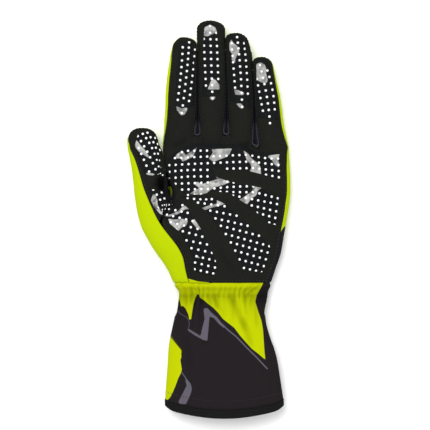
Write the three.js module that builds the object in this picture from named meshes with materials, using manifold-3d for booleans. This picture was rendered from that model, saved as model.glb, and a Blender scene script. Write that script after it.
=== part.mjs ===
// Karting glove for the left hand, laid on its back with the palm up.
// Millimetres. +Z is up, +Y points to the fingertips, +X to the little finger.
// The origin is on the floor under the middle of the palm.
import * as THREE from 'three';
import { mergeVertices } from 'three/addons/utils/BufferGeometryUtils.js';
import Module from 'manifold-3d';

// Hand
const handWidth = 101;
const palmLength = 117.6;
const wristSeamY = -54.4;
const fingerLength = 92;
const palmThickness = 30;
const fingerThickness = 19;
const thumbThickness = 22;
const fingerLift = 7;
const floorFlattening = 1.6;

// Cuff
const cuffLength = 94;
const cuffWidth = 95;
const cuffThickness = 30;
const hemDepth = 6;
const hemBow = 9;
const seamBow = 6.75;
const pleatDepth = 0.9;
const pleatCount = 18;

// Walls and clearances
const suedeWall = 1.4;
const knitWall = 1.2;
const cuffWall = 1.3;
const hemWall = 2.2;
const gripThickness = 0.5;
const gripClearance = 0.35;
const seamGap = 0.3;

// Fullness of the hand's and the cuff's cross-sections, where 2 is an ellipse
const handFullness = 2.3;
const cuffFullness = 2.2;

const crotchY = wristSeamY + palmLength;
const thumbCrotchShare = 0.857;

// Rows of the hand from the wrist seam to the finger crotches, as shares of the palm length
const handStations = [0, 0.088, 0.173, 0.259, 0.344, 0.42, 0.497, 0.582, 0.667, 0.752,
  thumbCrotchShare, 0.93, 1];
const thumbCrotchRow = handStations.indexOf(thumbCrotchShare);
const thumbPointRow = 5;

// Shares of the palm length: where the thumb starts to stand out as a roll of its own, where its seam
// leaves the yellow panel's edge, and where the palm starts to part into fingers, in height and in plan
const thumbRollStart = 0.36;
const thumbSeamStart = 0.4;
const fingerHeightStart = 0.72;
const fingerPlanStart = 0.85;

// Outline of the hand with the thumb's root. left and right are shares of the hand's width from the
// middle line, seam and crown shares of the palm's thickness.
const handSections = [
  { along: 0, left: -0.385, right: 0.388, seam: 0.42, crown: 0.4 },
  { along: 0.063, left: -0.412, right: 0.41, seam: 0.43, crown: 0.43 },
  { along: 0.147, left: -0.478, right: 0.45, seam: 0.44, crown: 0.47 },
  { along: 0.231, left: -0.545, right: 0.474, seam: 0.45, crown: 0.5 },
  { along: 0.315, left: -0.608, right: 0.491, seam: 0.45, crown: 0.52 },
  { along: 0.399, left: -0.65, right: 0.507, seam: 0.45, crown: 0.53 },
  { along: 0.524, left: -0.682, right: 0.532, seam: 0.44, crown: 0.52 },
  { along: 0.65, left: -0.7, right: 0.545, seam: 0.43, crown: 0.5 },
  { along: 0.776, left: -0.717, right: 0.54, seam: 0.42, crown: 0.46 },
  { along: 0.86, left: -0.733, right: 0.538, seam: 0.41, crown: 0.43 },
  { along: 1, left: -0.745, right: 0.53, seam: 0.4, crown: 0.38 },
];

// Lines on the thumb side: where the yellow panel meets the suede, where the thumb's own seam runs on
// the palm side, and the valley between thumb and palm. Shares of the hand's width.
const thumbLines = [
  { along: 0, yellow: -0.262, thumbSeam: -0.42, valley: -0.36 },
  { along: 0.088, yellow: -0.29, thumbSeam: -0.43, valley: -0.37 },
  { along: 0.173, yellow: -0.306, thumbSeam: -0.45, valley: -0.38 },
  { along: 0.259, yellow: -0.362, thumbSeam: -0.47, valley: -0.39 },
  { along: 0.344, yellow: -0.44, thumbSeam: -0.485, valley: -0.395 },
  { along: 0.42, yellow: -0.502, thumbSeam: -0.493, valley: -0.4 },
  { along: 0.497, yellow: -0.547, thumbSeam: -0.432, valley: -0.401 },
  { along: 0.582, yellow: -0.592, thumbSeam: -0.405, valley: -0.405 },
  { along: 0.667, yellow: -0.63, thumbSeam: -0.419, valley: -0.419 },
  { along: 0.752, yellow: -0.66, thumbSeam: -0.439, valley: -0.439 },
  { along: 0.857, yellow: -0.7, thumbSeam: -0.467, valley: -0.467 },
  { along: 1, yellow: -0.72, thumbSeam: -0.467, valley: -0.467 },
];

// The back panel at the little finger side, as shares of the hand's width: the strip of it that shows
// on the palm side, and how far in from the edge its underside starts to turn up
const edgeStrip = 0.026;
const backCorner = 0.06;
const backTurn = 0.75;

// Dents and soft mounds of the palm side. across and radiusAcross are shares of the hand's width, along
// and radiusAlong of the palm's length, rise of the palm's thickness.
const palmRelief = [
  { across: 0.04, along: 0.5, radiusAcross: 0.26, radiusAlong: 0.2, rise: -0.11 },
  { across: 0.3, along: 0.33, radiusAcross: 0.17, radiusAlong: 0.22, rise: 0.05 },
  { across: -0.3, along: 0.3, radiusAcross: 0.16, radiusAlong: 0.17, rise: 0.06 },
  { across: 0.0, along: 0.8, radiusAcross: 0.5, radiusAlong: 0.05, rise: 0.035 },
  { across: 0.05, along: 0.7, radiusAcross: 0.5, radiusAlong: 0.035, rise: -0.035 },
  { across: -0.02, along: 0.12, radiusAcross: 0.08, radiusAlong: 0.11, rise: -0.05 },
  { across: 0.4, along: 0.17, radiusAcross: 0.08, radiusAlong: 0.05, rise: -0.07 },
];

// Fingers. reach is a share of the finger length, measured from the finger's own crotch. crotchLeft and
// crotchRight are how far the crotch lies below the crotch line, as shares of the finger length.
// Rows: along is a share of the reach, centre and width are shares of the hand's width.
const fingers = [
  {
    name: 'index', reach: 0.858, crotchLeft: 0, crotchRight: 0, outerLeft: true, outerRight: false,
    rows: [
      { along: 0, centre: -0.3302, width: 0.266 },
      { along: 0.27, centre: -0.3243, width: 0.2545 },
      { along: 0.56, centre: -0.3218, width: 0.2436 },
      { along: 0.8, centre: -0.31, width: 0.22 },
      { along: 0.91, centre: -0.304, width: 0.2 },
      { along: 1, centre: -0.301, width: 0.187 },
    ],
  },
  {
    name: 'middle', reach: 1, crotchLeft: 0, crotchRight: -0.008, outerLeft: false, outerRight: false,
    rows: [
      { along: 0, centre: -0.0812, width: 0.22 },
      { along: 0.31, centre: -0.0782, width: 0.2255 },
      { along: 0.57, centre: -0.0802, width: 0.2215 },
      { along: 0.83, centre: -0.0846, width: 0.2205 },
      { along: 1, centre: -0.0905, width: 0.214 },
    ],
  },
  {
    name: 'ring', reach: 0.941, crotchLeft: -0.008, crotchRight: 0.098, outerLeft: false,
    outerRight: false,
    rows: [
      { along: 0, centre: 0.1465, width: 0.22 },
      { along: 0.38, centre: 0.1465, width: 0.208 },
      { along: 0.66, centre: 0.1366, width: 0.2 },
      { along: 0.825, centre: 0.1297, width: 0.194 },
      { along: 0.88, centre: 0.1228, width: 0.184 },
      { along: 1, centre: 0.111, width: 0.165 },
    ],
  },
  {
    name: 'little', reach: 0.785, crotchLeft: 0.098, crotchRight: 0.098, outerLeft: false,
    outerRight: true,
    rows: [
      { along: 0, centre: 0.4015, width: 0.258 },
      { along: 0.26, centre: 0.3777, width: 0.2265 },
      { along: 0.53, centre: 0.362, width: 0.211 },
      { along: 0.75, centre: 0.3416, width: 0.181 },
      { along: 0.88, centre: 0.3307, width: 0.1625 },
      { along: 1, centre: 0.317, width: 0.15 },
    ],
  },
];

// The thumb past its crotch. reach is a share of the finger length, the rest as for a finger.
const thumb = {
  reach: 0.256, rows: [
    { along: 0, centre: -0.6, width: 0.265 },
    { along: 0.25, centre: -0.618, width: 0.257 },
    { along: 0.5, centre: -0.63, width: 0.245 },
    { along: 1, centre: -0.63, width: 0.236 },
  ],
};

// Fingers grow thinner from a share of their reach on, down to a share of their thickness at the tip
const thinningStart = 0.3;
const tipThickness = 0.86;

// How far the fingers' middle planes lie below the hand's side seam
const fingerDrop = 0.5;

// Rows of a finger up to its round end, as shares of the way there, and of the round end in degrees
const fingerRows = [0, 0.1, 0.22, 0.36, 0.5, 0.64, 0.78, 0.9, 1];
const thumbRows = [0, 0.35, 0.7, 1];
const capAngles = [28, 52, 73, 90];
const capReach = 0.8;
const capBluntness = 0.8;

// Height of the seams round a finger, in degrees above and below its middle plane
const seamAngles = [
  { along: 0, front: 34, back: 38, outer: 12 },
  { along: 0.22, front: 24, back: 30, outer: 28 },
  { along: 0.64, front: 20, back: 26, outer: 28 },
  { along: 0.78, front: 14, back: 18, outer: 24 },
  { along: 0.9, front: 5, back: 6, outer: 16 },
  { along: 1, front: 0, back: 0, outer: 6 },
];

// The strips between the fingers: their ends as shares of the way to the round end, and their distance
// from the seams in degrees
const fourchetteStart = 0.03;
const fourchetteEnd = 0.9;
const fourchetteInset = 2;

// Cuff. along is a share of the cuff's length from the wrist seam, left, right of its width, seam and
// crown of its thickness, pleat of the pleats' depth.
const cuffSections = [
  { along: 0, left: -0.409, right: 0.413, seam: 0.42, crown: 0.4, pleat: 0.3 },
  { along: 0.045, left: -0.385, right: 0.402, seam: 0.41, crown: 0.38, pleat: 1 },
  { along: 0.085, left: -0.37, right: 0.396, seam: 0.4, crown: 0.36, pleat: 0.5 },
  { along: 0.13, left: -0.374, right: 0.391, seam: 0.405, crown: 0.37, pleat: 1 },
  { along: 0.2, left: -0.38, right: 0.377, seam: 0.41, crown: 0.39, pleat: 0.85 },
  { along: 0.3, left: -0.4, right: 0.365, seam: 0.42, crown: 0.41, pleat: 0.4 },
  { along: 0.4, left: -0.423, right: 0.39, seam: 0.43, crown: 0.44, pleat: 0.1 },
  { along: 0.53, left: -0.45, right: 0.432, seam: 0.45, crown: 0.46, pleat: 0 },
  { along: 0.66, left: -0.457, right: 0.467, seam: 0.47, crown: 0.48, pleat: 0 },
  { along: 0.82, left: -0.468, right: 0.492, seam: 0.49, crown: 0.5, pleat: 0 },
  { along: 1, left: -0.48, right: 0.52, seam: 0.5, crown: 0.5, pleat: 0 },
];

// Soft folds of the cuff's upper side. across and radius are shares of the cuff's width, along and
// radiusAlong of its length, rise of its thickness.
const cuffRelief = [
  { across: -0.2, along: 0.55, radiusAcross: 0.07, radiusAlong: 0.3, rise: 0.03 },
  { across: 0.2, along: 0.45, radiusAcross: 0.06, radiusAlong: 0.25, rise: -0.035 },
  { across: 0.05, along: 0.75, radiusAcross: 0.16, radiusAlong: 0.25, rise: -0.03 },
];

const suede = { color: 0x262624, roughness: 0.95, metalness: 0 };
const yellowKnit = { color: 0xcae30b, roughness: 0.85, metalness: 0 };
const darkKnit = { color: 0x1b1b26, roughness: 0.9, metalness: 0 };
const printedKnit = { color: 0x27232a, roughness: 0.75, metalness: 0 };
const binding = { color: 0x141516, roughness: 0.85, metalness: 0 };
const silicone = { color: 0x111214, roughness: 0.55, metalness: 0 };

const radians = Math.PI / 180;
const slopeStep = 0.05;

function mix(a, b, share) {
  return a + (b - a) * share;
}

function clamp(value, low, high) {
  return Math.min(high, Math.max(low, value));
}

function smooth(low, high, value) {
  const t = clamp((value - low) / (high - low), 0, 1);
  return t * t * (3 - 2 * t);
}

// Value of one column of a table at any place along it, on a smooth curve through the rows
function lookUp(table, column, along) {
  const last = table.length - 1;
  const place = clamp(along, table[0].along, table[last].along);
  let i = 0;
  while (i < last - 1 && place > table[i + 1].along) i += 1;
  const [a, b] = [table[i], table[i + 1]];
  const [before, after] = [table[Math.max(0, i - 1)], table[Math.min(last, i + 2)]];
  const span = b.along - a.along;
  const t = (place - a.along) / span;
  const slopeA = (b[column] - before[column]) / (b.along - before.along);
  const slopeB = (after[column] - a[column]) / (after.along - a.along);
  const tt = t * t;
  const ttt = tt * t;
  return (2 * ttt - 3 * tt + 1) * a[column] + (ttt - 2 * tt + t) * span * slopeA
    + (3 * tt - 2 * ttt) * b[column] + (ttt - tt) * span * slopeB;
}

// Height of an oval of width 2 and height 1 at the place q from its middle
function ovalRise(q, fullness) {
  return (1 - Math.min(1, Math.abs(q)) ** fullness) ** (1 / fullness);
}

function reliefAt(table, across, along) {
  let rise = 0;
  for (const dent of table) {
    const dx = (across - dent.across) / dent.radiusAcross;
    const dy = (along - dent.along) / dent.radiusAlong;
    rise += dent.rise * Math.exp(-dx * dx - dy * dy);
  }
  return rise;
}

// The hand, from the wrist seam to the crotches. side is 1 on the palm side and -1 on the back.
function handOutline(y) {
  const along = (y - wristSeamY) / palmLength;
  return {
    along,
    left: lookUp(handSections, 'left', along) * handWidth,
    right: lookUp(handSections, 'right', along) * handWidth,
    seam: lookUp(handSections, 'seam', along) * palmThickness,
    crown: lookUp(handSections, 'crown', along) * palmThickness,
    valley: lookUp(thumbLines, 'valley', along) * handWidth,
  };
}

function lobe(x, left, right, height) {
  const centre = (left + right) / 2;
  const half = (right - left) / 2;
  return height * ovalRise((x - centre) / half, handFullness);
}

// Height of the hand's surface over the place x, y
function handHeight(side, x, y) {
  const { along, left, right, seam, crown, valley } = handOutline(y);
  const height = side > 0 ? crown : seam + floorFlattening;
  const thumbHeight = Math.min(height, thumbThickness / 2);
  const whole = lobe(x, left, right, height);
  const parted = x < valley
    ? lobe(x, left, valley, thumbHeight)
    : lobe(x, valley, right, height);
  const split = smooth(thumbRollStart, thumbCrotchShare, along);
  let rise = mix(whole, parted, split);
  if (side > 0) {
    const edge = rise / height;
    rise += reliefAt(palmRelief, x / handWidth, along) * palmThickness * edge;
  }
  return seam + side * rise;
}

function unit(v) {
  const length = Math.hypot(...v);
  return v.map((value) => value / length);
}

// A point of the hand's surface and the direction that points out of it
function handPoint(side, x, y) {
  const step = slopeStep;
  const { left, right } = handOutline(y);
  const inside = clamp(x, left + 2 * step, right - 2 * step);
  const slopeX = (handHeight(side, inside + step, y) - handHeight(side, inside - step, y)) / (2 * step);
  const slopeY = (handHeight(side, inside, y + step) - handHeight(side, inside, y - step)) / (2 * step);
  const steepY = clamp(slopeY, -1, 1);
  return {
    at: [x, y, handHeight(side, x, y)],
    out: unit([-slopeX * side, -steepY * side, 1].map((value, i) => (i < 2 ? value : side))),
  };
}

// A finger or the thumb. along runs from 0 at the crotch to 1 where the round end starts, and on to 2
// at the very tip. angle is in degrees: 0 at the right side, 90 at the palm side, 180 at the left side.
function digitPoint(digit, along, angle) {
  const reach = digit.reach * fingerLength;
  const thickness = digit === thumb ? thumbThickness : fingerThickness;
  const endWidth = lookUp(digit.rows, 'width', 1) * handWidth;
  const capLength = capReach * endWidth / 2;
  const straight = reach - capLength;
  const body = Math.min(along, 1);
  const cap = Math.max(0, along - 1) * 90 * radians;
  const share = (body * straight + Math.sin(cap) * capLength) / reach;
  const narrowing = Math.cos(cap) ** capBluntness;
  const halfWidth = lookUp(digit.rows, 'width', share) * handWidth / 2;
  const halfHeight = thickness / 2 * mix(1, tipThickness, smooth(thinningStart, 1, share));
  const [cos, sin] = [Math.cos(angle * radians), Math.sin(angle * radians)];
  const base = digit.baseY((cos + 1) / 2);
  const tip = digit.baseY(0.5) + reach - capLength;
  const y = mix(base, tip, body) + Math.sin(cap) * capLength;
  const z = digit.baseZ + digit.lift * share * share;
  return {
    at: [
      lookUp(digit.rows, 'centre', share) * handWidth + halfWidth * narrowing * cos,
      y,
      z + halfHeight * narrowing * sin,
    ],
    out: unit([cos * Math.cos(cap) / halfWidth, Math.sin(cap) / capLength, sin * Math.cos(cap) / halfHeight]),
  };
}

function seamAngle(column, along) {
  return lookUp(seamAngles, column, Math.min(1, along));
}

for (const finger of fingers) {
  finger.baseY = (share) => crotchY - fingerLength * mix(finger.crotchLeft, finger.crotchRight, share);
  finger.baseZ = lookUp(handSections, 'seam', 1) * palmThickness - fingerDrop;
  finger.lift = fingerLift;
}
const thumbCrotchY = wristSeamY + thumbCrotchShare * palmLength;
thumb.baseY = () => thumbCrotchY;
thumb.baseZ = handOutline(thumbCrotchY).seam;
thumb.lift = fingerLift / 2;

function raised(point, dz) {
  return { at: [point.at[0], point.at[1], point.at[2] + dz], out: point.out };
}

function blended(a, b, share) {
  return {
    at: a.at.map((value, i) => mix(value, b.at[i], share)),
    out: unit(a.out.map((value, i) => mix(value, b.out[i], share))),
  };
}

// A sheet of cloth from a grid of surface points: rows of columns, with the cells that keep() names.
// The wall goes inwards from the surface, and no cloth goes below the floor.
function sheet(grid, wall, keep = () => true, closed = false) {
  const positions = [];
  const directions = [];
  const inner = [];
  const found = new Map();
  const index = grid.map((row) => row.map((point) => {
    const outside = point.at.slice();
    const inside = outside.map((value, i) => value - wall * point.out[i]);
    outside[2] = Math.max(0, outside[2]);
    inside[2] = Math.max(wall, inside[2]);
    const key = outside.map((value) => value.toFixed(3)).join();
    if (!found.has(key)) {
      found.set(key, positions.length);
      positions.push(outside);
      directions.push(point.out);
      inner.push(inside);
    }
    return found.get(key);
  }));
  const faces = [];
  const columns = grid[0].length;
  for (let i = 0; i + 1 < grid.length; i += 1) {
    for (let j = 0; j < (closed ? columns : columns - 1); j += 1) {
      if (!keep(i, j)) continue;
      const next = (j + 1) % columns;
      const [a, b, c, d] = [index[i][j], index[i][next], index[i + 1][next], index[i + 1][j]];
      if (a !== b && b !== c && a !== c) faces.push([a, b, c]);
      if (a !== c && c !== d && a !== d) faces.push([a, c, d]);
    }
  }
  return thickened(positions, inner, facingOut(faces, positions, directions));
}

// The faces, all turned round if they look against the surface's own directions
function facingOut(faces, positions, directions) {
  let agreement = 0;
  for (const [a, b, c] of faces) {
    const [p, q, r] = [a, b, c].map((i) => new THREE.Vector3(...positions[i]));
    const normal = q.sub(p).cross(r.sub(p));
    agreement += normal.dot(new THREE.Vector3(...directions[a]));
  }
  return agreement > 0 ? faces : faces.map(([a, b, c]) => [c, b, a]);
}

function thickened(outer, inner, faces) {
  const count = outer.length;
  const solid = [];
  const edges = new Set();
  for (const [a, b, c] of faces) {
    solid.push(a, b, c, c + count, b + count, a + count);
    edges.add(`${a},${b}`).add(`${b},${c}`).add(`${c},${a}`);
  }
  for (const edge of edges) {
    const [a, b] = edge.split(',').map(Number);
    if (!edges.has(`${b},${a}`)) solid.push(b, a, a + count, b, a + count, b + count);
  }
  const geometry = new THREE.BufferGeometry();
  geometry.setAttribute('position', new THREE.Float32BufferAttribute([...outer, ...inner].flat(), 3));
  geometry.setIndex(solid);
  geometry.computeVertexNormals();
  return geometry;
}

function angles(from, to, cells) {
  return Array.from({ length: cells + 1 }, (_, i) => mix(from, to, i / cells));
}

// All rows of a finger: straight ones, then the round end
const digitStations = (rows) => [...rows, ...capAngles.map((angle) => 1 + angle / 90)];
const frontCells = 5;

// Columns of the palm side over one finger, from left to right
function frontAngles(finger, along) {
  const left = seamAngle(finger.outerLeft ? 'outer' : 'front', along);
  const right = seamAngle(finger.outerRight ? 'outer' : 'front', along);
  return angles(180 - left, right, frontCells);
}

const outerCells = 7;
const innerCells = 5;

// Columns of the back over one finger, from left to right under it
function backAngles(finger, along) {
  const left = finger.outerLeft ? -seamAngle('outer', along) : seamAngle('back', along);
  const right = finger.outerRight ? -seamAngle('outer', along) : seamAngle('back', along);
  const outer = finger.outerLeft || finger.outerRight;
  return angles(180 + left, 360 - right, outer ? outerCells : innerCells);
}

// The hand's rows under the columns of the crotch row. edges gives the panel's left and right x at y.
function handRow(side, crotch, station, edges) {
  const first = crotch[0].at[0];
  const last = crotch[crotch.length - 1].at[0];
  const toFinger = smooth(fingerHeightStart, 1, station);
  return crotch.map((point) => {
    const y = mix(wristSeamY, point.at[1], station);
    const [left, right] = edges(y);
    const share = clamp((point.at[0] - first) / (last - first), 0, 1);
    const x = mix(mix(left, right, share), point.at[0], smooth(fingerPlanStart, 1, station));
    return blended(handPoint(side, x, y), point, toFinger);
  });
}

const rimY = (y) => Math.max(y, wristSeamY + seamGap / 2);

function atWrist(grid) {
  for (const point of grid[0]) point.at[1] = rimY(point.at[1]);
  return grid;
}

function palmEdges(y) {
  const { along, right } = handOutline(y);
  const seam = along < thumbSeamStart ? 'yellow' : 'thumbSeam';
  return [
    lookUp(thumbLines, seam, along) * handWidth + seamGap / 2,
    right - edgeStrip * handWidth,
  ];
}

// Keeps the cells between two fingers only below the crotches
function combMask(bodyRows, cellsOfFingers) {
  const gaps = new Set();
  let column = 0;
  for (const cells of cellsOfFingers) {
    column += cells;
    gaps.add(column);
    column += 1;
  }
  return (i, j) => i < bodyRows || !gaps.has(j);
}

function palmSurface() {
  const stations = digitStations(fingerRows).slice(1);
  const lift = (point) => raised(point, seamGap / 2);
  const crotch = fingers.flatMap((f) => frontAngles(f, 0).map((angle) => digitPoint(f, 0, angle)));
  const body = handStations.slice(0, -1).map((station) => handRow(1, crotch, station, palmEdges));
  const tips = stations.map((along) => fingers.flatMap((f) => frontAngles(f, along)
    .map((angle) => digitPoint(f, along, angle))));
  const grid = atWrist([...body, crotch, ...tips].map((row) => row.map(lift)));
  return { grid, keep: combMask(body.length, fingers.map(() => frontCells)) };
}

const wrapCells = 3;

// The back's right edge: under the hand to its side, and up to the seam on the palm side
function backRow(crotch, station) {
  const flat = crotch.slice(0, -wrapCells);
  const corner = flat[flat.length - 1];
  const row = handRow(-1, flat, station, (y) => {
    const { along, right } = handOutline(y);
    return [
      lookUp(thumbLines, 'valley', along) * handWidth + seamGap / 2,
      right - backCorner * handWidth,
    ];
  });
  const y = mix(wristSeamY, corner.at[1], station);
  const { right } = handOutline(y);
  const seamX = palmEdges(y)[1];
  const toFinger = smooth(fingerHeightStart, 1, station);
  const wrap = [
    handPoint(-1, mix(seamX, right, backTurn), y),
    handPoint(1, right, y),
    handPoint(1, seamX, y),
  ];
  wrap[1].out = [1, 0, 0];
  return [...row, ...wrap.map((point, i) => blended(point, crotch[flat.length + i], toFinger))];
}

function backPanel() {
  const stations = digitStations(fingerRows).slice(1);
  const drop = (point) => raised(point, -seamGap / 2);
  const crotch = fingers.flatMap((f) => backAngles(f, 0).map((angle) => digitPoint(f, 0, angle)));
  const body = handStations.slice(0, -1).map((station) => backRow(crotch, station));
  const tips = stations.map((along) => fingers.flatMap((f) => backAngles(f, along)
    .map((angle) => digitPoint(f, along, angle))));
  const grid = atWrist([...body, crotch, ...tips].map((row) => row.map(drop)));
  const cells = fingers.map((f) => (f.outerLeft || f.outerRight ? outerCells : innerCells));
  return sheet(grid, knitWall, combMask(body.length, cells));
}

// Thumb
const thumbFrontCells = 6;
const thumbSideCells = 3;
const thumbUnderCells = 5;

// The thumb's side seam: its height in degrees, and where it runs down to the middle plane
const thumbSeamAngle = 30;
const thumbSeamFade = { from: 0.5, to: 1.4 };

function thumbSeamHeight(along) {
  return thumbSeamAngle * (1 - smooth(thumbSeamFade.from, thumbSeamFade.to, along));
}

// Places from one x to another that lie closer together at the start, where the side curves down
function easedPlaces(from, to, cells) {
  return Array.from({ length: cells }, (_, i) => {
    const share = 1 - Math.cos((i + 1) / cells * 90 * radians);
    return mix(from, to, share);
  });
}

function thumbFrontSurface() {
  const rows = [];
  for (let i = thumbPointRow; i <= thumbCrotchRow; i += 1) {
    const y = wristSeamY + handStations[i] * palmLength;
    const from = lookUp(thumbLines, 'yellow', handStations[i]) * handWidth + seamGap / 2;
    const to = lookUp(thumbLines, 'thumbSeam', handStations[i]) * handWidth - seamGap / 2;
    const places = angles(180, 0, thumbFrontCells).map((angle) => (1 + Math.cos(angle * radians)) / 2);
    rows.push(places.map((share) => handPoint(1, mix(from, to, share), y)));
  }
  for (const along of digitStations(thumbRows).slice(1)) {
    const left = thumbSeamHeight(along);
    rows.push(angles(180 - left, 0, thumbFrontCells).map((angle) => digitPoint(thumb, along, angle)));
  }
  return { grid: rows.map((row) => row.map((point) => raised(point, seamGap / 2))) };
}

function thumbBackPanel() {
  const rows = [];
  for (let i = 0; i <= thumbCrotchRow; i += 1) {
    const y = wristSeamY + handStations[i] * palmLength;
    const { left } = handOutline(y);
    const from = lookUp(thumbLines, 'yellow', handStations[i]) * handWidth - seamGap / 2;
    const to = lookUp(thumbLines, 'valley', handStations[i]) * handWidth - seamGap / 2;
    const side = handPoint(-1, left, y);
    side.out = [-1, 0, 0];
    rows.push([
      ...easedPlaces(left, from, thumbSideCells).reverse().map((x) => handPoint(1, x, y)),
      side,
      ...easedPlaces(left, to, thumbUnderCells).map((x) => handPoint(-1, x, y)),
    ]);
  }
  for (const along of digitStations(thumbRows).slice(1)) {
    const left = thumbSeamHeight(along);
    rows.push([
      ...angles(180 - left, 180, thumbSideCells),
      ...angles(180, 360, thumbUnderCells).slice(1),
    ].map((angle) => digitPoint(thumb, along, angle)));
  }
  const grid = atWrist(rows.map((row) => row.map((point) => raised(point, -seamGap / 2))));
  return sheet(grid, knitWall);
}

// The strip between two fingers, from the left one's side round the crotch to the right one's
function fourchette(leftFinger, rightFinger) {
  const cells = 3;
  const side = (finger, along, onLeft) => {
    const top = seamAngle('front', along) - fourchetteInset;
    const bottom = seamAngle('back', along) - fourchetteInset;
    const turn = onLeft ? (angle) => 180 - angle : (angle) => angle;
    return angles(top, -bottom, cells).map((angle) => digitPoint(finger, along, turn(angle)));
  };
  const rows = fingerRows.filter((along) => along > fourchetteStart && along <= fourchetteEnd);
  const stations = [fourchetteStart, ...rows];
  const leftSide = stations.map((along) => side(leftFinger, along, false)).reverse();
  const rightSide = stations.map((along) => side(rightFinger, along, true));
  const [a, b] = [leftSide[leftSide.length - 1], rightSide[0]];
  const edgeAngle = seamAngle('front', 0);
  const edgeY = Math.max(
    digitPoint(leftFinger, 0, edgeAngle).at[1],
    digitPoint(rightFinger, 0, 180 - edgeAngle).at[1],
  );
  const webY = edgeY + knitWall + seamGap;
  const web = a.map((point, i) => ({
    at: [mix(point.at[0], b[i].at[0], 0.5), webY, mix(point.at[2], b[i].at[2], 0.5)],
    out: [0, 1, 0],
  }));
  return sheet([...leftSide, web, ...rightSide], knitWall);
}

// The cuff: share is 0 at the wrist seam and 1 at the binding, angle as round a finger
function cuffPoint(share, angle, bow, y, pleated = true) {
  const left = lookUp(cuffSections, 'left', share) * cuffWidth;
  const right = lookUp(cuffSections, 'right', share) * cuffWidth;
  const seam = lookUp(cuffSections, 'seam', share) * cuffThickness;
  const crown = lookUp(cuffSections, 'crown', share) * cuffThickness;
  const pleat = pleated ? lookUp(cuffSections, 'pleat', share) * pleatDepth : 0;
  const [cos, sin] = [Math.cos(angle * radians), Math.sin(angle * radians)];
  const across = Math.sign(cos) * Math.abs(cos) ** (2 / cuffFullness);
  const up = Math.sign(sin) * Math.abs(sin) ** (2 / cuffFullness);
  const halfWidth = (right - left) / 2;
  const height = sin > 0 ? crown : seam + floorFlattening;
  const out = unit([
    Math.sign(across) * Math.abs(across) ** (cuffFullness - 1) / halfWidth,
    0,
    Math.sign(up) * Math.abs(up) ** (cuffFullness - 1) / height,
  ]);
  const x = (left + right) / 2 + across * halfWidth;
  const relief = sin > 0 ? sin * reliefAt(cuffRelief, x / cuffWidth, share) * cuffThickness : 0;
  const wave = pleat * Math.cos(pleatCount * angle * radians);
  return {
    at: [
      x + wave * out[0],
      y - bow * (1 - across * across),
      seam + height * up + relief + wave * out[2],
    ],
    out,
  };
}

const cuffColumns = 2 * pleatCount;
const roundAngles = Array.from({ length: cuffColumns }, (_, i) => 360 * i / cuffColumns);

function cuff() {
  const rows = cuffSections.map(({ along }) => roundAngles.map((angle) => {
    const y = Math.min(wristSeamY - along * cuffLength, wristSeamY - seamGap / 2);
    return cuffPoint(along, angle, seamBow * along ** 3, y);
  }));
  return sheet(rows, cuffWall, undefined, true);
}

function hemBinding() {
  const proud = (hemWall - cuffWall) / 2;
  const place = (share, raise) => roundAngles.map((angle) => {
    const y = wristSeamY - cuffLength - seamGap - share * hemDepth;
    const point = cuffPoint(1, angle, mix(seamBow, hemBow, share), y, false);
    return { at: point.at.map((value, i) => value + raise * point.out[i]), out: point.out };
  });
  return sheet([place(0, proud), place(1, proud)], hemWall, undefined, true);
}

// The outline of a grip field on a finger: straight down both sides between two places along it.
// from and to run as along does in digitPoint, left and right are shares of half the finger's width,
// slant is how far each end corner is drawn along the finger. The sides bend at gripBend.
const fingerGrips = {
  index: { from: 0.3, to: 1.35, left: -0.36, right: 0.84, slant: -2 },
  middle: { from: 0.38, to: 1.6, left: -0.66, right: 0.56, slant: -1 },
  ring: { from: 0.36, to: 1.4, left: -0.78, right: 0.76, slant: 1 },
  little: { from: 0.34, to: 1.4, left: -0.78, right: 0.72, slant: 1 },
};

const gripBend = 0.7;

function fingerGripOutline(finger) {
  const { from, to, left, right, slant } = fingerGrips[finger.name];
  const places = [from, gripBend, to];
  const side = (share, lean) => places.map((along, i) => {
    const [x, y] = digitPoint(finger, along, Math.acos(share) / radians).at;
    return [x, y + (i === 0 ? lean : 0)];
  });
  return [...side(left, slant), ...side(right, -slant).reverse()];
}

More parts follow.
